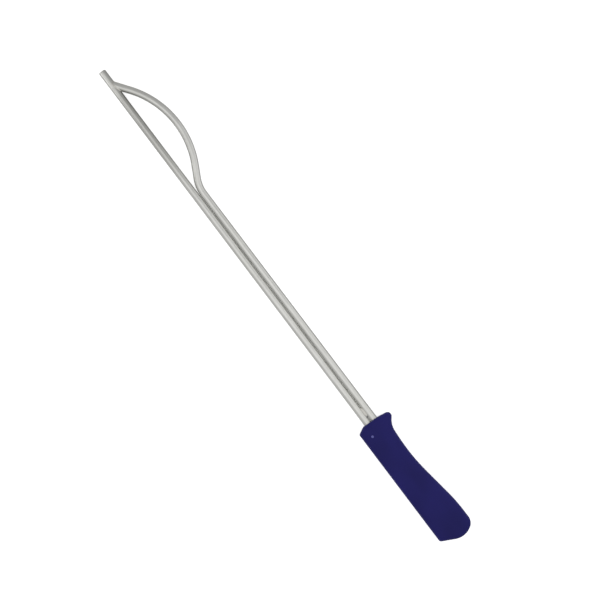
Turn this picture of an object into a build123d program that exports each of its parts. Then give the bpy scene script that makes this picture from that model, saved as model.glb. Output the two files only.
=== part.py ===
from build123d import *

import os
from math import cos, radians, sin, tan

# A long-handled loop tool, all in one rigid piece. The straight bar runs from inside the handle to
# the tip. The bowed bar lies beside it, swings out near the tip into a D-shaped loop and comes back
# to be welded on the straight bar's side. A second weld joins the bars just in front of the handle,
# and a cross pin keys the straight bar inside it.
#
# Millimetres. +Y runs from the handle to the tip, +X from the straight bar to the bow, +Z is up.
# The tool lies on the handle's flat side at Z = 0, and the origin is under the middle of its length
# and width.

# Bars
bar_diameter = 6.6  # drawn round bar
bar_exposed = 381.0  # from the handle's mouth to the straight bar's tip
bar_gap = 0.15  # between the bars where they lie side by side
tang_length = 95.0  # of both bars, inside the handle
tip_chamfer = 0.5

# Loop, seen from above
weld_setback = 14.1  # from the tip back to where the two bars' axes cross
rise_angle = 36.0  # of the bow's end against the straight bar
rise_run = 16.5  # straight length of the bow from that crossing
bow_radius = 81.0
fall_angle = 28.0  # of the bow's way back towards the handle
heel_radius = 30.0

# Welds
cope_gap = 0.1  # left between the bow's coped end and the straight bar
tip_weld_radius = 0.5
tip_weld_inset = 0.05  # keeps the weld's stub slimmer than the bar, so that its seam is one loop
neck_bead_radius = 1.5
neck_bead_length = 10.5
neck_bead_drop = 0.1  # of the bead's crown below the bars' tops
neck_bead_setback = 4.4  # from the handle's mouth to the bead

# Handle
handle_length = 127.0
handle_thickness = 19.0
edge_round = 4.0
spine_reach = 11.7  # from the straight bar's axis to the handle's straight back
guard_reach = 24.4  # to the corner that is rounded into the finger guard
waist_reach = 13.6
butt_reach = 21.4
waist_blend = 17.5  # run of the waist's arc to each side of its corner
swell_blend = 9.5  # the same where the butt swells
tang_clearance = 0.05  # all round the two tangs

# Cross pin
pin_diameter = 2.38  # three thirty-seconds of an inch
pin_setback = 11.3  # from the mouth
pin_recess = 0.4  # of each end below the handle's side
pin_clearance = 0.05  # in the straight bar's notch
pin_hole_chamfer = 0.3

# Places that follow from these sizes
bar_radius = bar_diameter / 2
bar_pitch = bar_diameter + bar_gap
pin_radius = pin_diameter / 2
rise = radians(rise_angle)
fall = radians(fall_angle)
crest_reach = rise_run * sin(rise) + bow_radius * (1 - cos(rise))
loop_reach = crest_reach + bar_radius
straight_x = (spine_reach - loop_reach) / 2
mouth_y = (handle_length - bar_exposed) / 2

# Local frame of the tool: its origin is on the straight bar's axis at the handle's mouth, x runs
# across to the bow and y forward to the tip.
tool = Plane(origin=(straight_x, mouth_y, handle_thickness / 2))


def bar_section(across, forward):
    """A plane square to the bars. A circle drawn on it starts on the side away from the bow."""
    place = tool.from_local_coords((across, forward, 0))
    return Plane(origin=place, x_dir=(-1, 0, 0), z_dir=(0, 1, 0))


def side_plane(across, forward, height):
    """A level plane through a place given in the tool's frame."""
    return Plane(origin=tool.from_local_coords((across, forward, height)))


def finish(part, name):
    """Label a finished piece and write it."""
    part.label = name
    export_step(part, f"parts/{name}.step")


os.makedirs("parts", exist_ok=True)

# ---------------------------------------------------------------------------------- straight rod
with BuildPart() as straight_rod:
    with BuildSketch(bar_section(0, -tang_length)):
        Circle(bar_radius)
    extrude(amount=tang_length + bar_exposed)
    tip_edge = straight_rod.edges().sort_by(Axis.Y)[-1]
    chamfer(tip_edge, length=tip_chamfer)
    # The pin's axis grazes the bar's back, so that half of the pin keys into a round notch.
    with BuildSketch(side_plane(-bar_radius, -pin_setback, 0)):
        Circle(pin_radius + pin_clearance)
    extrude(amount=bar_diameter, both=True, mode=Mode.SUBTRACT)

# ------------------------------------------------------------------------------------ bowed rod
# The bow's centreline is three straight runs. The apex and heel are the corners between them.
foot_y = bar_exposed - weld_setback
apex_run = rise_run + bow_radius * tan((rise + fall) / 2)
apex_x = apex_run * sin(rise)
apex_y = foot_y - apex_run * cos(rise)
heel_y = apex_y - (apex_x - bar_pitch) / tan(fall)

with BuildPart() as bowed_rod:
    with BuildLine(tool):
        bow_axis = FilletPolyline(
            (0, foot_y),
            (apex_x, apex_y),
            (bar_pitch, heel_y),
            (bar_pitch, -tang_length),
            radius=(bow_radius, heel_radius),
        )
    with BuildSketch(Plane(origin=bow_axis @ 0, z_dir=bow_axis % 0)):
        Circle(bar_radius)
    sweep()
    # The end is coped to sit round the straight bar.
    with BuildSketch(bar_section(0, 0)):
        Circle(bar_radius + cope_gap)
    extrude(amount=bar_exposed, mode=Mode.SUBTRACT)

# ------------------------------------------------------------------------------------- tip weld
# The weld is what a fillet adds round the seam of the two bars, with the metal in the cope's gap.
# It is worked out on a stub of the bow that reaches past the fillet in the inner crotch.
crotch_run = bar_radius * (1 + cos(rise)) / sin(rise)
stub_length = crotch_run + tip_weld_radius / tan(rise / 2) + bar_radius

with BuildPart() as tip_weld:
    with BuildSketch(bar_section(0, foot_y - 2 * stub_length)):
        Circle(bar_radius)
    extrude(amount=2 * stub_length + bar_radius)
    with BuildLine(tool):
        stub_axis = Line(
            (0, foot_y),
            (stub_length * sin(rise), foot_y - stub_length * cos(rise)),
        )
    with BuildSketch(Plane(origin=stub_axis @ 0, z_dir=stub_axis % 0)):
        Circle(bar_radius - tip_weld_inset)
    sweep()
    seam = tip_weld.edges().filter_by(GeomType.BSPLINE)
    fillet(seam, radius=tip_weld_radius)
    add(straight_rod.part, mode=Mode.SUBTRACT)
    add(bowed_rod.part, mode=Mode.SUBTRACT)

# ----------------------------------------------------------------------------------- neck welds
# One bead in the valley between the bars on each side, turned from half a slot so its ends are round.
bead_middle = neck_bead_setback + neck_bead_length / 2
bead_height = bar_radius - neck_bead_drop - neck_bead_radius
neck_welds = {}
for side, up in (("upper", 1), ("lower", -1)):
    bead_plane = side_plane(bar_pitch / 2, bead_middle, up * bead_height)
    with BuildPart() as bead:
        with BuildSketch(bead_plane):
            SlotOverall(neck_bead_length, 2 * neck_bead_radius, rotation=90)
            split(bisect_by=Plane.YZ)
        revolve(axis=Axis(bead_plane.origin, (0, 1, 0)))
        add(straight_rod.part, mode=Mode.SUBTRACT)
        add(bowed_rod.part, mode=Mode.SUBTRACT)
    neck_welds[side] = bead.part

# --------------------------------------------------------------------------------------- handle
guard_foot = (guard_reach - 8.9, 13.6)
waist = (waist_reach, 44.7)
butt_swell = (butt_reach - 0.2, handle_length - 27.8)
butt_corner = (butt_reach, handle_length - 5.0)


def blend_radius(before, corner, after, blend):
    """Radius of the arc that rounds a corner and starts and ends at a distance `blend` from it."""
    turn = (Vector(corner) - Vector(before)).get_angle(Vector(after) - Vector(corner))
    return blend / tan(radians(turn) / 2)


# Corners of the outline, going round from the back: across, behind the mouth, corner radius.
handle_corners = (
    (-spine_reach, 3.5, 1.6),  # back into the bevel
    (-4.8, 0.0, 4.0),  # bevel into the mouth
    (8.2, 0.0, 20.0),  # mouth into the leaning face of the guard
    (guard_reach, 2.7, 3.6),  # guard's point
    (*guard_foot, 18.0),
    (*waist, blend_radius(guard_foot, waist, butt_swell, waist_blend)),
    (*butt_swell, blend_radius(waist, butt_swell, butt_corner, swell_blend)),
    (*butt_corner, 9.3),
    (8.2, handle_length + 2.04, 16.0),  # butt's end
    (-spine_reach, handle_length - 8.2, 2.2),  # butt into the back
)
outline_points = [(across, -behind) for across, behind, _ in handle_corners]
outline_radii = [radius for _, _, radius in handle_corners]
half_thickness = handle_thickness / 2

with BuildPart() as handle:
    with BuildSketch(tool):
        with BuildLine():
            FilletPolyline(*outline_points, radius=outline_radii, close=True)
        make_face()
    extrude(amount=half_thickness, both=True)
    fillet(handle.faces().filter_by(Axis.Z).edges(), radius=edge_round)
    # Both tangs share one slot-shaped pocket.
    with BuildSketch(bar_section(bar_pitch / 2, -tang_length)):
        SlotCenterToCenter(bar_pitch, bar_diameter + 2 * tang_clearance)
    extrude(amount=tang_length, mode=Mode.SUBTRACT)
    with BuildSketch(side_plane(-bar_radius, -pin_setback, 0)):
        Circle(pin_radius)
    extrude(amount=half_thickness, both=True, mode=Mode.SUBTRACT)
    pin_hole_rims = handle.edges(Select.LAST).filter_by(GeomType.CIRCLE)
    chamfer(pin_hole_rims, length=pin_hole_chamfer)

# ------------------------------------------------------------------------------------ cross pin
with BuildPart() as handle_pin:
    with BuildSketch(side_plane(-bar_radius, -pin_setback, 0)):
        Circle(pin_radius)
    extrude(amount=half_thickness - pin_recess, both=True)

finish(straight_rod.part, "straight_rod")
finish(bowed_rod.part, "bowed_rod")
finish(tip_weld.part, "tip_weld")
for side, weld in neck_welds.items():
    finish(weld, f"neck_weld_{side}")
finish(handle.part, "handle")
finish(handle_pin.part, "handle_pin")
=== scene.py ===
"""A long-handled loop tool: two stainless bars, their welds, a moulded handle and a cross pin."""

from math import atan2, cos, exp, hypot, pi, radians, sin, sqrt, tan

import bmesh
import bpy
from mathutils import Matrix, Vector, noise


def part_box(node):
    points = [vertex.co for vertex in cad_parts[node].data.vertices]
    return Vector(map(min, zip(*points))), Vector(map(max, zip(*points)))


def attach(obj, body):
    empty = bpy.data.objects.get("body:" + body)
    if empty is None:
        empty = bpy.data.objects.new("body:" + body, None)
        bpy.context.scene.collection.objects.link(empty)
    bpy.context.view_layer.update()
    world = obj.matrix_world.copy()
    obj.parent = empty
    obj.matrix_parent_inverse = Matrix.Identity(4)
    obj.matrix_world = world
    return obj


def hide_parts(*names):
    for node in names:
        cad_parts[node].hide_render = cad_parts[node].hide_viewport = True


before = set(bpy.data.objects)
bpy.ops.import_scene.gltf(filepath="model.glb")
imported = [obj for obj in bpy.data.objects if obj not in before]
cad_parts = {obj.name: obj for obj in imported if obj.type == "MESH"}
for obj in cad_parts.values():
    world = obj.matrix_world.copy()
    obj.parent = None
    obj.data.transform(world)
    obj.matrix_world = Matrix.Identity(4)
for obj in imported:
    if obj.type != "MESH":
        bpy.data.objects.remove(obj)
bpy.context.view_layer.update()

MM = 0.001
UP = Vector((0, 0, 1))

# Places taken from the frame. The tool's own axes start on the straight bar's axis at the handle's
# mouth: across to the bow, forward to the tip, and up.
rod_low, rod_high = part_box("straight_rod")
handle_low, handle_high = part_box("handle")
pin_low, pin_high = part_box("handle_pin")
bead_low, bead_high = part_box("neck_weld_upper")
BAR_RADIUS = (rod_high.z - rod_low.z) / 2
MOUTH = Vector(((rod_low.x + rod_high.x) / 2, handle_high.y, (rod_low.z + rod_high.z) / 2))
TIP = rod_high.y - MOUTH.y
TANG = MOUTH.y - rod_low.y
HALF_THICKNESS = (handle_high.z - handle_low.z) / 2
PIN_RADIUS = (pin_high.x - pin_low.x) / 2
PIN_X = (pin_low.x + pin_high.x) / 2
PIN_Y = (pin_low.y + pin_high.y) / 2

# Bars
BAR_SIDES = 72
BAR_STEP = 5 * MM
BAR_GAP = 0.15 * MM
BAR_PITCH = 2 * BAR_RADIUS + BAR_GAP
TIP_BREAK = 1.0 * MM  # radius of the broken edge at the tip
TIP_BREAK_STEPS = 6
TIP_FACE_RINGS = (0.6, 0.3)  # shares of the radius

# The bow, as it leaves the weld and comes back to the straight bar
WELD_SETBACK = 14.1 * MM
RISE = radians(36)
RISE_RUN = 16.5 * MM
RISE_STEPS = 14
BOW_RADIUS = 81 * MM
BOW_STEPS = 48
FALL = radians(28)
FALL_STEPS = 8
HEEL_RADIUS = 30 * MM
HEEL_STEPS = 14
COPE_GAP = 0.05 * MM
COPE_RINGS = (0.2, 0.45, 0.7, 0.9)  # shares of the radius
COPE_SOFT = 0.03  # how much the cope's points are rounded, as cope_run says

# The notch and the hole for the cross pin
PIN_CHAMFER = 0.3 * MM
PIN_CLEARANCE = 0.05 * MM
PIN_HOLE_CLEARANCE = 0.02 * MM
OVERSHOOT = 2 * MM  # of a cutter past what it cuts

# Meshes
TURNED_SIDES = 48
MERGE_REACH = 0.002 * MM
SHARP_ANGLE = radians(32)


# ------------------------------------------------------------------------------ shape helpers
def at(across, forward, height=0.0):
    """A place given along the tool's own axes."""
    return MOUTH + Vector((across, forward, height))


def lifted(flat, height=0.0):
    """A flat place of the tool, as a point in space."""
    return at(flat.x, flat.y, height)


def turned_left(heading):
    """A flat heading turned a quarter to the left."""
    return Vector((-heading.y, heading.x))


def ring_angles(count):
    """Even angles for the points of a ring."""
    return [2 * pi * i / count for i in range(count)]


def corner_arc(before, corner, after, radius, steps):
    """Places and headings along the arc that rounds a flat corner."""
    heading = (corner - before).normalized()
    leaving = (after - corner).normalized()
    turn = atan2(heading.cross(leaving), heading.dot(leaving))
    start = corner - heading * radius * tan(abs(turn) / 2)
    side = radius if turn > 0 else -radius
    centre = start + turned_left(heading) * side
    for step in range(steps + 1):
        swing = Matrix.Rotation(turn * step / steps, 2)
        yield centre + swing @ (start - centre), swing @ heading


def run_between(start, end, steps):
    """Places and headings inside a straight run, without its ends."""
    heading = (end - start).normalized()
    for step in range(1, steps):
        yield start.lerp(end, step / steps), heading


def skin(name, rings, around=False):
    """A closed mesh over rings of points. Its ends are flat faces, unless around joins them."""
    count = len(rings[0])
    points = [point for ring in rings for point in ring]
    faces = []
    for row in range(len(rings) if around else len(rings) - 1):
        here = row * count
        there = (row + 1) % len(rings) * count
        for i in range(count):
            j = (i + 1) % count
            faces.append((here + i, here + j, there + j, there + i))
    if not around:
        faces.append(tuple(reversed(range(count))))
        faces.append(tuple(range(len(points) - count, len(points))))
    mesh = bpy.data.meshes.new(name)
    mesh.from_pydata(points, [], faces)
    shaped = bmesh.new()
    shaped.from_mesh(mesh)
    bmesh.ops.recalc_face_normals(shaped, faces=shaped.faces)
    shaped.to_mesh(mesh)
    shaped.free()
    piece = bpy.data.objects.new(name, mesh)
    bpy.context.scene.collection.objects.link(piece)
    return piece


def turned_shape(name, x, y, profile):
    """An upright turned shape. Its profile is heights and radii from the bottom up."""
    rings = []
    for height, radius in profile:
        circle = [(x + radius * cos(a), y + radius * sin(a)) for a in ring_angles(TURNED_SIDES)]
        rings.append([Vector((*place, height)) for place in circle])
    return skin(name, rings)


def carve(piece, cutter):
    """Cut one closed mesh out of another, and merge the points that the cut leaves doubled."""
    modifier = piece.modifiers.new("cut", "BOOLEAN")
    modifier.object = cutter
    modifier.solver = "EXACT"
    graph = bpy.context.evaluated_depsgraph_get()
    carved = bpy.data.meshes.new_from_object(piece.evaluated_get(graph), depsgraph=graph)
    shaped = bmesh.new()
    shaped.from_mesh(carved)
    bmesh.ops.remove_doubles(shaped, verts=shaped.verts, dist=MERGE_REACH)
    shaped.to_mesh(carved)
    shaped.free()
    piece.modifiers.clear()
    piece.data = carved
    bpy.data.objects.remove(cutter)


def finish_piece(piece, node, slot, *materials):
    """Smooth shading with sharp edges kept, then the materials, the root body, and the CAD node that
    the piece stands for hidden. The slot is not used.
    """
    piece.data.shade_smooth()
    piece.data.set_sharp_from_angle(angle=SHARP_ANGLE)
    piece.data.materials.clear()
    for material in materials:
        piece.data.materials.append(material)
    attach(piece, "root")
    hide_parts(node)


def write_points(piece, name, kind, values):
    """Keep one value for each point of a mesh, for its material to read."""
    attribute = piece.data.attributes.new(name, kind, "POINT")
    if kind == "FLOAT_VECTOR":
        attribute.data.foreach_set("vector", [part for value in values for part in value])
    else:
        attribute.data.foreach_set("value", values)


# --------------------------------------------------------------------------- material helpers
def new_material(name):
    """A material with nodes, its tree and its shader."""
    material = bpy.data.materials.new(name)
    material.use_nodes = True
    tree = material.node_tree
    return material, tree, tree.nodes["Principled BSDF"]


def feed(tree, socket, value):
    """Link a socket, or set its constant."""
    if isinstance(value, bpy.types.NodeSocket):
        tree.links.new(value, socket)
    else:
        socket.default_value = value


def add(tree, kind, inputs, **settings):
    """Add a node with its inputs linked or set, and return its first output."""
    node = tree.nodes.new("ShaderNode" + kind)
    for key, value in settings.items():
        setattr(node, key, value)
    for socket, value in inputs.items():
        feed(tree, node.inputs[socket], value)
    return node.outputs[0]


def kept_value(tree, name, output):
    """What a mesh keeps for each of its points."""
    node = tree.nodes.new("ShaderNodeAttribute")
    node.attribute_name = name
    return node.outputs[output]


def object_place(tree):
    """The place in the object's own coordinates."""
    return tree.nodes.new("ShaderNodeTexCoord").outputs["Object"]


def grain(tree, place, scale, detail=3.0, stretch=(1, 1, 1)):
    """Noise with scale features to the metre, drawn out along an axis where stretch is under one."""
    mapped = add(tree, "Mapping", {"Vector": place, "Scale": stretch})
    return add(tree, "TexNoise", {"Vector": mapped, "Scale": scale, "Detail": detail})


def spread(tree, value, low, high, contrast=0.25):
    """Take noise, which stays near one half, to a range of its own."""
    sockets = {"Value": value, "From Min": 0.5 - contrast, "From Max": 0.5 + contrast}
    return add(tree, "MapRange", sockets | {"To Min": low, "To Max": high})


def grey(tree, brightness):
    """A grey of the given brightness."""
    return add(tree, "CombineColor", {0: 0.0, 1: 0.0, 2: brightness}, mode="HSV")


def mix_colours(tree, factor, first, second, blend="MIX"):
    """Mix two colours, each a constant or a socket."""
    node = tree.nodes.new("ShaderNodeMix")
    node.data_type = "RGBA"
    node.blend_type = blend
    feed(tree, node.inputs["Factor"], factor)
    colours = [socket for socket in node.inputs if socket.type == "RGBA"]
    feed(tree, colours[0], first)
    feed(tree, colours[1], second)
    return next(socket for socket in node.outputs if socket.type == "RGBA")


def clouded(tree, clouds, colours):
    """A colour that wanders between two."""
    return mix_colours(tree, spread(tree, clouds, 0, 1), *colours)


def streaked(tree, colour, streaks, darkest):
    """A colour dimmed by noise, down to the share darkest."""
    return mix_colours(tree, 1.0, colour, grey(tree, spread(tree, streaks, darkest, 1.0)), "MULTIPLY")


def bumped(tree, height, distance, under=None):
    """A bump, on top of another one if there is one."""
    sockets = {"Height": height, "Distance": distance, "Strength": 1.0}
    if under is not None:
        sockets["Normal"] = under
    return add(tree, "Bump", sockets)


def set_surface(tree, shader, colour, metallic, roughness, normal):
    """Link or set the shader's main inputs."""
    feed(tree, shader.inputs["Base Color"], colour)
    feed(tree, shader.inputs["Metallic"], metallic)
    feed(tree, shader.inputs["Roughness"], roughness)
    feed(tree, shader.inputs["Normal"], normal)


# ----------------------------------------------------------------------------------- materials
# Colours in linear light. A pair is the two shades that a material wanders between.
DRAWN_STEEL = ((0.675, 0.674, 0.637, 1), (0.735, 0.734, 0.712, 1))
HEAT_TINT = (0.50, 0.45, 0.35, 1)
# Painted shade: the dark colour the bars are mixed towards where they face each other at the loop's
# front.
PAINTED_SHADE = (0.06, 0.06, 0.045, 1)
SAWN_STEEL = ((0.56, 0.55, 0.53, 1), (0.69, 0.68, 0.66, 1))
WELD_METAL = ((0.62, 0.61, 0.575, 1), (0.48, 0.47, 0.43, 1))
INDIGO = ((0.0060, 0.0050, 0.085, 1), (0.0100, 0.0084, 0.118, 1))
PIN_END = ((0.145, 0.145, 0.38, 1), (0.112, 0.112, 0.315, 1))
PLASTIC_SPECULAR = 0.18


def bar_steel():
    """Satin drawn stainless: fine lines along the bar, soft mottling, heat tint and painted shade at
    the loop's front.
    """
    material, tree, shader = new_material("bar_steel")
    along = kept_value(tree, "bar_place", "Vector")
    clouds = grain(tree, along, 60, detail=2, stretch=(1, 0.2, 1))
    mottle = grain(tree, along, 260, stretch=(1, 0.35, 1))
    scratches = grain(tree, along, 1500, detail=4, stretch=(1, 0.03, 1))
    lines = grain(tree, along, 5200, detail=2, stretch=(1, 0.012, 1))
    colour = clouded(tree, clouds, DRAWN_STEEL)
    colour = streaked(tree, colour, mottle, 0.9)
    colour = streaked(tree, colour, scratches, 0.88)
    patchy_heat = {0: kept_value(tree, "heat", "Fac"), 1: spread(tree, mottle, 0.15, 0.4)}
    tint = add(tree, "Math", patchy_heat, operation="MULTIPLY")
    colour = mix_colours(tree, tint, colour, HEAT_TINT)
    # Painted shade, darkening the bars where they face each other at the loop's front.
    colour = mix_colours(tree, kept_value(tree, "painted_shade", "Fac"), colour, PAINTED_SHADE)
    normal = bumped(tree, scratches, 0.012 * MM, under=bumped(tree, lines, 0.008 * MM))
    set_surface(tree, shader, colour, 1.0, spread(tree, scratches, 0.27, 0.39), normal)
    return material


def cut_steel():
    """A sawn end: straight parallel marks, rougher than the bar."""
    material, tree, shader = new_material("cut_steel")
    place = object_place(tree)
    marks = grain(tree, place, 3600, detail=2, stretch=(1, 1, 0.04))
    colour = clouded(tree, grain(tree, place, 700), SAWN_STEEL)
    normal = bumped(tree, marks, 0.03 * MM)
    set_surface(tree, shader, colour, 1.0, spread(tree, marks, 0.36, 0.5), normal)
    return material


def weld_steel():
    """Cleaned weld metal: duller than the bar, with soft pits and darker blotches."""
    material, tree, shader = new_material("weld_steel")
    place = object_place(tree)
    pits = grain(tree, place, 2600)
    colour = clouded(tree, grain(tree, place, 420), WELD_METAL)
    normal = bumped(tree, pits, 0.02 * MM)
    set_surface(tree, shader, colour, 1.0, spread(tree, pits, 0.3, 0.42), normal)
    return material


def handle_plastic():
    """Moulded indigo plastic with a fine matt texture and slow changes of shade."""
    material, tree, shader = new_material("handle_plastic")
    place = object_place(tree)
    clouds = grain(tree, place, 45, detail=2, stretch=(1, 0.5, 1))
    texture = grain(tree, place, 2400, detail=2)
    waves = grain(tree, place, 260, detail=1)
    colour = clouded(tree, clouds, INDIGO)
    normal = bumped(tree, waves, 0.02 * MM, under=bumped(tree, texture, 0.02 * MM))
    set_surface(tree, shader, colour, 0.0, spread(tree, texture, 0.52, 0.64), normal)
    shader.inputs["Specular IOR Level"].default_value = PLASTIC_SPECULAR
    return material


def pin_steel():
    """The pin's dull bluish end."""
    material, tree, shader = new_material("pin_steel")
    patches = grain(tree, object_place(tree), 1500)
    colour = clouded(tree, patches, PIN_END)
    normal = bumped(tree, patches, 0.02 * MM)
    set_surface(tree, shader, colour, 1.0, spread(tree, patches, 0.4, 0.55), normal)
    return material


# --------------------------------------------------------------------------------- bow's route
FOOT = Vector((0, TIP - WELD_SETBACK))  # where the two bars' axes cross
BOW_HEADING = Vector((sin(RISE), -cos(RISE)))
BOW_SIDE = turned_left(BOW_HEADING)


def bow_route():
    """Places and headings along the bow's axis, from the end of its first straight run."""
    apex = FOOT + BOW_HEADING * (RISE_RUN + BOW_RADIUS * tan((RISE + FALL) / 2))
    heel = Vector((BAR_PITCH, apex.y - (apex.x - BAR_PITCH) / tan(FALL)))
    end = Vector((BAR_PITCH, -TANG))
    crest_arc = list(corner_arc(FOOT, apex, heel, BOW_RADIUS, BOW_STEPS))
    heel_arc = list(corner_arc(apex, heel, end, HEEL_RADIUS, HEEL_STEPS))
    slope = list(run_between(crest_arc[-1][0], heel_arc[0][0], FALL_STEPS))
    heel_end = heel_arc[-1][0]
    last_run = list(run_between(heel_end, end, round((heel_end - end).length / BAR_STEP)))
    return crest_arc + slope + heel_arc + last_run + [(end, (end - heel).normalized())]


def cope_run(radius, angle, reach, soft=0.0):
    """How far along the bow's axis a line beside it meets a bar of radius reach round the other axis.

    The line lies at a radius and an angle from the bow's axis. The share soft rounds the turn that
    the seam makes at the top and bottom, where the line only grazes the bar.
    """
    depth = sqrt(max(reach**2 - (radius * sin(angle)) ** 2, 0.0) + (soft * reach) ** 2)
    return (depth - radius * cos(angle) * cos(RISE)) / sin(RISE)


def bow_point(radius, angle, run):
    """A point beside the straight start of the bow's axis."""
    flat = FOOT + BOW_HEADING * run + BOW_SIDE * radius * cos(angle)
    return lifted(flat, radius * sin(angle))


SEAM_STEPS = 240
SEAM_SOFT = 0.12  # as cope_run says
SEAM = [
    bow_point(BAR_RADIUS, angle, cope_run(BAR_RADIUS, angle, BAR_RADIUS, SEAM_SOFT))
    for angle in ring_angles(SEAM_STEPS)
]

# ------------------------------------------------------------------------ heat tint and painted shade
TIP_HEAT = 5 * MM
TIP_HEAT_LIMIT = 6 * TIP_HEAT
SEAM_STRIDE = 6  # of the seam's points that a distance is measured to
NECK_HEAT = 4 * MM
NECK_HEAT_SHARE = 0.4

# Painted shade darkens the bars at the loop's front, where they shade each other and mirror each
# other's dimmer sides. Each bar has its share on the side that faces the loop, how far back it
# reaches, and its share all round the bar, which rises and falls between distances behind the weld.
STRAIGHT_PAINTED_SHADE = {"facing": 0.45, "reach": 68 * MM, "all_round": 0.2}
BOW_PAINTED_SHADE = {"facing": 0.56, "reach": 30 * MM, "all_round": 0.0}
PAINTED_SHADE_RISE = (4 * MM, 16 * MM)
PAINTED_SHADE_FALL = (60 * MM, 130 * MM)


def heat_near_welds(point):
    """How much heat tint a point of a bar has, fading within a few millimetres of a weld's edge."""
    beyond = max(bead_low.y - point.y, point.y - bead_high.y, 0.0)
    beside = abs(point.x - (bead_low.x + bead_high.x) / 2)
    heat = NECK_HEAT_SHARE * exp(-((hypot(beyond, beside) / NECK_HEAT) ** 2))
    if abs(point.y - SEAM[0].y) < TIP_HEAT_LIMIT:
        near = min((point - place).length for place in SEAM[::SEAM_STRIDE])
        heat += exp(-((near / TIP_HEAT) ** 2))
    return heat


def eased(value, low, high):
    """A smooth step from 0 at low to 1 at high."""
    share = min(max((value - low) / (high - low), 0.0), 1.0)
    return share * share * (3 - 2 * share)


def painted_shade_at(point, across, painted_shade):
    """How much painted shade darkens a point of a bar, across being its place from the bar's axis
    away from the loop.
    """
    back = MOUTH.y + FOOT.y - point.y
    facing = max(0.0, -across / BAR_RADIUS) * exp(-((back / painted_shade["reach"]) ** 2))
    all_round = eased(back, *PAINTED_SHADE_RISE) * (1 - eased(back, *PAINTED_SHADE_FALL))
    return painted_shade["facing"] * facing + painted_shade["all_round"] * all_round


def write_bar(piece, rings, bar_rings, painted_shade):
    """Give a bar the coordinates that its drawn lines follow, its heat tint and its painted shade."""
    points = [point for ring in rings for point in ring]
    bar_points = [point for ring in bar_rings for point in ring]
    write_points(piece, "bar_place", "FLOAT_VECTOR", bar_points)
    write_points(piece, "heat", "FLOAT", [heat_near_welds(point) for point in points])
    # Painted shade for each point, from its place on its bar.
    shares = [painted_shade_at(point, place[0], painted_shade) for point, place in zip(points, bar_points)]
    write_points(piece, "painted_shade", "FLOAT", shares)


# ---------------------------------------------------------------------------------------- bars
def straight_bar(steel, sawn):
    """The straight bar, its edge broken at the tip and its back notched for the pin."""
    run = TANG + TIP - 3 * TIP_BREAK
    steps = round(run / BAR_STEP)
    stations = [(run * step / steps - TANG, BAR_RADIUS) for step in range(steps + 1)]
    for step in range(TIP_BREAK_STEPS + 1):
        angle = pi / 2 * step / TIP_BREAK_STEPS
        forward = TIP - TIP_BREAK * (1 - sin(angle))
        stations.append((forward, BAR_RADIUS - TIP_BREAK * (1 - cos(angle))))
    stations += [(TIP, BAR_RADIUS * share) for share in TIP_FACE_RINGS]
    rings = []
    bar_rings = []
    for forward, radius in stations:
        circle = [(radius * cos(a), radius * sin(a)) for a in ring_angles(BAR_SIDES)]
        rings.append([at(-x, forward, z) for x, z in circle])
        bar_rings.append([(x, forward, z) for x, z in circle])
    piece = skin("bar_straight", rings)
    write_bar(piece, rings, bar_rings, STRAIGHT_PAINTED_SHADE)
    notch = PIN_RADIUS + PIN_CLEARANCE
    profile = ((-OVERSHOOT, notch), (handle_high.z + OVERSHOOT, notch))
    carve(piece, turned_shape("cutter", PIN_X, PIN_Y, profile))
    finish_piece(piece, "straight_rod", "bar_steel", steel, sawn)
    # Only the face at the tip has its middle this far forward.
    sawn_face = rod_high.y - 0.005 * MM
    for face in piece.data.polygons:
        face.material_index = 1 if face.center.y > sawn_face else 0


def bowed_bar(steel):
    """The bowed bar, its end coped round the straight bar."""
    angles = ring_angles(BAR_SIDES)
    reach = BAR_RADIUS + COPE_GAP
    rings = []
    bar_rings = []

    def add_straight_ring(radius, runs):
        rings.append([bow_point(radius, a, run) for a, run in zip(angles, runs)])
        bar_rings.append([(radius * cos(a), run, radius * sin(a)) for a, run in zip(angles, runs)])

    for share in COPE_RINGS:
        radius = BAR_RADIUS * share
        add_straight_ring(radius, [cope_run(radius, a, reach) for a in angles])
    ends = [cope_run(BAR_RADIUS, a, reach, COPE_SOFT) for a in angles]
    for step in range(RISE_STEPS):
        runs = [end + (RISE_RUN - end) * step / RISE_STEPS for end in ends]
        add_straight_ring(BAR_RADIUS, runs)
    circle = [(BAR_RADIUS * cos(a), BAR_RADIUS * sin(a)) for a in angles]
    travelled = RISE_RUN
    before = None
    for place, heading in bow_route():
        travelled += (place - before).length if before is not None else 0.0
        before = place
        side = turned_left(heading)
        rings.append([lifted(place + side * across, height) for across, height in circle])
        bar_rings.append([(across, travelled, height) for across, height in circle])
    piece = skin("bar_bowed", rings)
    write_bar(piece, rings, bar_rings, BOW_PAINTED_SHADE)
    finish_piece(piece, "bowed_rod", "bar_steel", steel)


# --------------------------------------------------------------------------------------- welds
BEAD_POINTS = 9
RIPPLE_HEIGHT = 0.035 * MM
RIPPLE_BEND = 0.45 * MM  # how far a ripple's toes lag behind its middle
RIPPLE_PATCH = 1.7 * MM
RIPPLE_UNEVEN = 0.7
TOE_SINK = 0.01 * MM

# The tip's bead, measured from the seam
TIP_BEAD_REACH = 0.95 * MM
TIP_BEAD_CROTCH_LOSS = 0.45 * MM
TIP_BEAD_UNEVEN = 0.12
TIP_BEAD_LOBES = 5
TIP_BEAD_CROWN = 0.16 * MM
TIP_BEAD_ROOT = 0.7 * MM
TIP_BEAD_PITCH = 0.8 * MM

# The neck's beads. A toe's slope is its angle in degrees round the bar, from the bar's top.
NECK_BEAD_STEPS = 96
NECK_END_SLOPE = 70
NECK_SLOPE_LOSS = 33
NECK_SLOPE_POWER = 0.7
NECK_SLOPE_UNEVEN = 3
NECK_BEAD_PATCH = 2.2 * MM
NECK_BEAD_CROWN = 0.75 * MM
NECK_BEAD_ROOT = 0.6 * MM
NECK_BEAD_PITCH = 0.95 * MM


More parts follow.
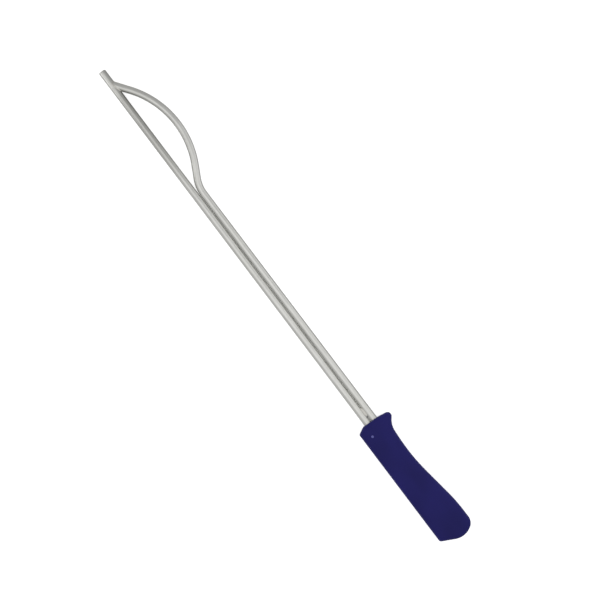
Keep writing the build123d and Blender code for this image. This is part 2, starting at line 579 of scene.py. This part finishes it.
def bead_section(first_toe, top, second_toe, ripple):
    """The face of a weld across its bead, from toe to toe, with ripple lifting its middle."""
    lift = (top - (first_toe + second_toe) / 2).normalized()
    points = []
    for i in range(BEAD_POINTS):
        share = i / (BEAD_POINTS - 1)
        left = 1 - share
        curve = first_toe * left**2 + top * 2 * left * share + second_toe * share**2
        points.append(curve + lift * ripple(2 * share - 1) * 4 * left * share)
    return points


def weld_ripple(run, pitch):
    """Height of the ripples at a run along the bead, as a function of the place across it."""

    def height(across):
        phase = (run + RIPPLE_BEND * across**2) / pitch
        uneven = noise.noise(Vector((run / RIPPLE_PATCH, across, 3.0)))
        return RIPPLE_HEIGHT * (abs(sin(pi * phase)) + RIPPLE_UNEVEN * uneven)

    return height


def toe_on_bar(point, origin, heading):
    """The nearest point just under the surface of a bar with that axis."""
    foot = origin + heading * (point - origin).dot(heading)
    return foot + (point - foot).normalized() * (BAR_RADIUS - TOE_SINK)


def tip_weld(metal):
    """The bead round the bow's coped end, from toe to toe across the seam."""
    side = BOW_SIDE.to_3d()
    heading = BOW_HEADING.to_3d()
    foot = lifted(FOOT)
    rings = []
    run = 0.0
    for i, angle in enumerate(ring_angles(SEAM_STEPS)):
        seam = SEAM[i]
        ahead = SEAM[(i + 1) % SEAM_STEPS]
        along = (ahead - SEAM[i - 1]).normalized()
        from_straight = Vector((seam.x - MOUTH.x, 0, seam.z - MOUTH.z)).normalized()
        from_bow = side * cos(angle) + UP * sin(angle)
        outward = (from_straight + from_bow).normalized()
        # The bead is narrower in the sharp crotch that faces the loop.
        crotch = 0.5 - 0.5 * cos(angle)
        width = TIP_BEAD_REACH - TIP_BEAD_CROTCH_LOSS * crotch**6
        lobes = Vector((cos(angle), sin(angle), 0)) * TIP_BEAD_LOBES
        width *= 1 + TIP_BEAD_UNEVEN * noise.noise(lobes)
        first = seam + along.cross(from_straight).normalized() * width
        first = toe_on_bar(first, MOUTH, Vector((0, 1, 0)))
        second = seam + from_bow.cross(along).normalized() * width
        second = toe_on_bar(second, foot, heading)
        top = seam + outward * TIP_BEAD_CROWN
        section = bead_section(first, top, second, weld_ripple(run, TIP_BEAD_PITCH))
        rings.append(section + [seam - outward * TIP_BEAD_ROOT])
        run += (ahead - seam).length
    piece = skin("weld_tip", rings, around=True)
    finish_piece(piece, "tip_weld", "weld_steel", metal)


def neck_weld(name, node, up, metal):
    """A short bead in the valley between the bars, tapering into it at both ends."""
    low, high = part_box(node)
    rings = []
    for step in range(NECK_BEAD_STEPS + 1):
        share = step / NECK_BEAD_STEPS
        fullness = sqrt(1 - (2 * share - 1) ** 2)
        run = (high.y - low.y) * share
        uneven = noise.noise(Vector((run / NECK_BEAD_PATCH, up, 1.0)))
        slope = NECK_END_SLOPE - NECK_SLOPE_LOSS * fullness**NECK_SLOPE_POWER
        slope = radians(slope - NECK_SLOPE_UNEVEN * uneven)
        toe = BAR_RADIUS * sin(slope)
        height = BAR_RADIUS * cos(slope)
        forward = low.y + run - MOUTH.y
        first = at(toe, forward, up * height)
        second = at(BAR_PITCH - toe, forward, up * height)
        top = at(BAR_PITCH / 2, forward, up * (height + NECK_BEAD_CROWN * fullness))
        root = at(BAR_PITCH / 2, forward, up * (height - NECK_BEAD_ROOT))
        rings.append(bead_section(first, top, second, weld_ripple(run, NECK_BEAD_PITCH)) + [root])
    piece = skin(name, rings)
    finish_piece(piece, node, "weld_steel", metal)


# -------------------------------------------------------------------------------- handle and pin
# Corners of the outline, going round from the back: across, behind the mouth, corner radius. These
# are in millimetres.
SPINE = (handle_low.x - MOUTH.x) / MM
LENGTH = (handle_high.y - handle_low.y) / MM
HANDLE_CORNERS = (
    (SPINE, 3.5, 1.6),  # back into the bevel
    (-4.8, 0.0, 4.0),  # bevel into the mouth
    (8.2, 0.0, 20.0),  # mouth into the leaning face of the guard
    (24.4, 2.7, 3.6),  # guard's point
    (15.5, 13.6, 18.0),  # guard's foot
    (13.6, 44.7, 175.0),  # waist
    (21.2, LENGTH - 27.8, 146.0),  # swell of the butt
    (21.4, LENGTH - 5.0, 9.3),
    (8.2, LENGTH + 2.04, 16.0),  # butt's end
    (SPINE, LENGTH - 8.2, 2.2),  # butt into the back
)
ARC_STEPS = 14
RUN_STEP = 2.5 * MM
TIGHTEST = 0.8 * MM  # radius left where a corner is moved inwards

# The moulding, as insets from the outline and heights above its middle
EDGE_ROUND = 4 * MM
EDGE_STEPS = 12
PARTING_LINE = ((0.0, 0.0), (0.015 * MM, 0.1 * MM), (0.08 * MM, 0.17 * MM))
PARTING_STEP = 0.09 * MM
DRAFT = 0.1 * MM
FLANK_STEPS = 4
CROWN = 0.3 * MM
CROWN_STEPS = 7
CROWN_END = 0.82  # share of the way to the keel where the top's last face begins
KEEL = (Vector((1.5, -13.0)) * MM, Vector((4.6, -112.0)) * MM)

# The pocket
TANG_CLEARANCE = 0.05 * MM
POCKET_ROUND_STEPS = 24
POCKET_STATIONS = (-TANG, -TANG / 2, -6 * MM, 8 * MM)

# The pin's ends: the rim's radius, and depths of the dish at shares of the pin's radius
PIN_RIM = 0.16 * MM
PIN_RIM_STEPS = 4
PIN_DISH = ((0.03 * MM, 0.25), (0.01 * MM, 0.6))


def outline(inset):
    """Places round the handle's outline, or round one that lies inside it."""
    corners = [Vector((across, -behind)) * MM for across, behind, _ in HANDLE_CORNERS]
    radii = [radius * MM for _, _, radius in HANDLE_CORNERS]
    count = len(corners)
    moved = []
    rounded = []
    for i in range(count):
        entering = (corners[i] - corners[i - 1]).normalized()
        leaving = (corners[(i + 1) % count] - corners[i]).normalized()
        turn = atan2(entering.cross(leaving), entering.dot(leaving))
        # The outline goes round clockwise, so its inside is on the right.
        inward = -(turned_left(entering) + turned_left(leaving)).normalized()
        moved.append(corners[i] + inward * inset / cos(turn / 2))
        rounded.append(max(radii[i] - inset, TIGHTEST) if turn < 0 else radii[i] + inset)
    arcs = []
    for i in range(count):
        after = moved[(i + 1) % count]
        arc = corner_arc(moved[i - 1], moved[i], after, rounded[i], ARC_STEPS)
        arcs.append([place for place, _ in arc])
    places = []
    for i in range(count):
        # Counted on the full outline, so that every outline has as many places.
        run_length = (corners[(i + 1) % count] - corners[i]).length
        steps = max(2, round(run_length / RUN_STEP))
        places += arcs[i]
        places += [place for place, _ in run_between(arcs[i][-1], arcs[(i + 1) % count][0], steps)]
    return places


def handle_levels():
    """How far inside the outline each level of the upper half lies, and its height."""
    flank = HALF_THICKNESS - EDGE_ROUND
    levels = list(PARTING_LINE)
    for step in range(1, FLANK_STEPS + 1):
        levels.append((PARTING_STEP + DRAFT * step / FLANK_STEPS, flank * step / FLANK_STEPS))
    start = PARTING_STEP + DRAFT
    for step in range(1, EDGE_STEPS + 1):
        angle = pi / 2 * step / EDGE_STEPS
        inset = start + (EDGE_ROUND - start) * (1 - cos(angle))
        levels.append((inset, flank + (EDGE_ROUND - CROWN) * sin(angle)))
    return levels


def nearest_on_keel(place):
    """The nearest point of the middle line that the handle's broad faces rise to."""
    front, back = KEEL
    line = back - front
    share = (place - front).dot(line) / line.length_squared
    return front + line * min(max(share, 0.0), 1.0)


def handle_body():
    """The moulding's outer skin: a parting line, drafted flanks, rounded edges and crowned faces."""
    outer = outline(0.0)
    inner = outline(EDGE_ROUND)
    upper = []
    for inset, height in handle_levels():
        share = inset / EDGE_ROUND
        upper.append(([o.lerp(i, share) for o, i in zip(outer, inner)], height))
    for step in range(1, CROWN_STEPS + 1):
        share = CROWN_END * step / CROWN_STEPS
        level = [place.lerp(nearest_on_keel(place), share) for place in inner]
        upper.append((level, HALF_THICKNESS - CROWN * (1 - share) ** 2))
    # The lower half is the upper one turned over. They share the level in the middle.
    rings = [[lifted(place, -height) for place in level] for level, height in reversed(upper[1:])]
    rings += [[lifted(place, height) for place in level] for level, height in upper]
    return skin("grip", rings)


def pocket_cutter():
    """The pocket for both bars: a slot-shaped hole from the mouth to the ends of the tangs."""
    radius = BAR_RADIUS + TANG_CLEARANCE
    section = []
    for centre, start in ((BAR_PITCH, -pi / 2), (0.0, pi / 2)):
        for step in range(POCKET_ROUND_STEPS + 1):
            angle = pi * step / POCKET_ROUND_STEPS + start
            section.append((centre + radius * cos(angle), radius * sin(angle)))
    rings = []
    for forward in POCKET_STATIONS:
        rings.append([at(across, forward, height) for across, height in section])
    return skin("cutter", rings)


def grip(plastic):
    """The handle, with the bars' pocket and the pin's hole cut into the moulding."""
    piece = handle_body()
    carve(piece, pocket_cutter())
    hole = PIN_RADIUS + PIN_HOLE_CLEARANCE
    mouth = hole + (PIN_CHAMFER + OVERSHOOT)
    profile = (
        (handle_low.z - OVERSHOOT, mouth),
        (handle_low.z + PIN_CHAMFER, hole),
        (handle_high.z - PIN_CHAMFER, hole),
        (handle_high.z + OVERSHOOT, mouth),
    )
    carve(piece, turned_shape("cutter", PIN_X, PIN_Y, profile))
    finish_piece(piece, "handle", "handle_plastic", plastic)


def cross_pin(metal):
    """The pin, with rounded rims and faintly dished ends."""
    half = [(pin_high.z - depth, share * PIN_RADIUS) for depth, share in PIN_DISH]
    for step in range(PIN_RIM_STEPS + 1):
        angle = pi / 2 * step / PIN_RIM_STEPS
        radius = PIN_RADIUS - PIN_RIM * (1 - sin(angle))
        half.append((pin_high.z - PIN_RIM * (1 - cos(angle)), radius))
    middle = (pin_low.z + pin_high.z) / 2
    profile = [(2 * middle - height, radius) for height, radius in half] + half[::-1]
    piece = turned_shape("pin", PIN_X, PIN_Y, profile)
    finish_piece(piece, "handle_pin", "pin_steel", metal)


steel = bar_steel()
weld_metal = weld_steel()
straight_bar(steel, cut_steel())
bowed_bar(steel)
tip_weld(weld_metal)
neck_weld("weld_neck_upper", "neck_weld_upper", 1, weld_metal)
neck_weld("weld_neck_lower", "neck_weld_lower", -1, weld_metal)
grip(handle_plastic())
cross_pin(pin_steel())


# ----------------------------------------------------------------------- floor, light and camera
# The tool lies across the picture, so the camera is turned about the upright.
VIEW_TURN = radians(-37.053)
VIEW_ACROSS = Matrix.Rotation(VIEW_TURN, 3, "Z") @ Vector((1, 0, 0))
VIEW_AIM = Vector((9.36, -6.67, 9.5)) * MM
VIEW_WIDTH = 518.2 * MM
LENS = 200.0
SENSOR = 36.0
CLIP_START = 0.05

# How bright the room is on the straight bar's side, and how far it dims towards the bow's side
ROOM_LEFT = 0.65
ROOM_RIGHT = 0.49
ROOM_DIMMED = 0.9  # sideways part of the direction where it has dimmed
PAPER_WHITE = 1.05

FLOOR_REACH = 4.0
FLOOR_GAP = 0.05 * MM
FLOOR_WHITE = (0.93, 0.93, 0.93, 1)
FLOOR_ROUGHNESS = 0.9
FLOOR_GLOW = 0.62

# Lights: size in metres, place, what it faces, and power in watts
SOFTBOXES = {
    "top_light": ((1.1, 0.6), (0.01, -0.13, 0.5), (0.01, -0.13, 0), 0.95),
    "side_light": ((0.7, 0.6), (0.75, -0.12, 0.36), (0, -0.12, 0), 0.75),
    "tip_light": ((0.08, 0.08), (-0.2, 0.28, 0.1), (0, 0.25, 0.01), 0.028),
}


def floor():
    """A pale floor, tipped so that it touches the handle's front edge and the bar's tip."""
    first = Vector((handle_high.y - EDGE_ROUND, handle_low.z))
    second = Vector((rod_high.y, rod_low.z))
    slope = (second.y - first.y) / (second.x - first.x)
    corners = []
    for x, y in ((-1, -1), (1, -1), (1, 1), (-1, 1)):
        forward = y * FLOOR_REACH
        corners.append((x * FLOOR_REACH, forward, first.y + slope * (forward - first.x) - FLOOR_GAP))
    mesh = bpy.data.meshes.new("floor")
    mesh.from_pydata(corners, [], [(0, 1, 2, 3)])
    piece = bpy.data.objects.new("floor", mesh)
    bpy.context.scene.collection.objects.link(piece)
    material, tree, shader = new_material("floor_paper")
    feed(tree, shader.inputs["Base Color"], FLOOR_WHITE)
    feed(tree, shader.inputs["Roughness"], FLOOR_ROUGHNESS)
    feed(tree, shader.inputs["Specular IOR Level"], 0.0)
    feed(tree, shader.inputs["Emission Color"], (1, 1, 1, 1))
    feed(tree, shader.inputs["Emission Strength"], FLOOR_GLOW)
    mesh.materials.append(material)
    # The bars' rims mirror the dimmer room, as they do over a sweep that falls away behind them.
    piece.visible_glossy = False


def room():
    """A dim, nearly even room for the light that reaches the tool, and a white one behind it."""
    world = bpy.data.worlds.new("room")
    bpy.context.scene.world = world
    world.use_nodes = True
    tree = world.node_tree
    camera_ray = tree.nodes.new("ShaderNodeLightPath").outputs["Is Camera Ray"]
    towards = tree.nodes.new("ShaderNodeTexCoord").outputs["Generated"]
    sideways = add(tree, "SeparateXYZ", {"Vector": towards})
    sockets = {"Value": sideways, "From Min": 0.0, "From Max": ROOM_DIMMED}
    light = add(tree, "MapRange", sockets | {"To Min": ROOM_LEFT, "To Max": ROOM_RIGHT})
    white = (PAPER_WHITE, PAPER_WHITE, PAPER_WHITE, 1)
    shade = mix_colours(tree, camera_ray, grey(tree, light), white)
    feed(tree, tree.nodes["Background"].inputs["Color"], shade)


def softbox(name, size, place, aim, power):
    """A rectangular light that faces its aim. From straight above, its sides follow the picture's."""
    data = bpy.data.lights.new(name, "AREA")
    data.shape = "RECTANGLE"
    data.size, data.size_y = size
    data.energy = power
    lamp = bpy.data.objects.new(name, data)
    bpy.context.scene.collection.objects.link(lamp)
    lamp.location = place
    back = (place - aim).normalized()
    overhead = back.z > 0.9
    across = VIEW_ACROSS if overhead else UP.cross(back).normalized()
    up = back.cross(across)
    lamp.rotation_euler = Matrix((across, up, back)).transposed().to_euler()
    lamp.visible_camera = False


def camera():
    """Square-on from above, with the handle at the lower right."""
    data = bpy.data.cameras.new("camera")
    data.lens = LENS
    data.sensor_width = SENSOR
    data.clip_start = CLIP_START
    eye = bpy.data.objects.new("camera", data)
    bpy.context.scene.collection.objects.link(eye)
    eye.location = VIEW_AIM + UP * VIEW_WIDTH * LENS / SENSOR
    eye.rotation_euler = (0, 0, VIEW_TURN)
    bpy.context.scene.camera = eye


floor()
room()
camera()
for name, (size, place, aim, power) in SOFTBOXES.items():
    softbox(name, size, Vector(place), Vector(aim), power)
bpy.context.scene.view_settings.view_transform = "Standard"
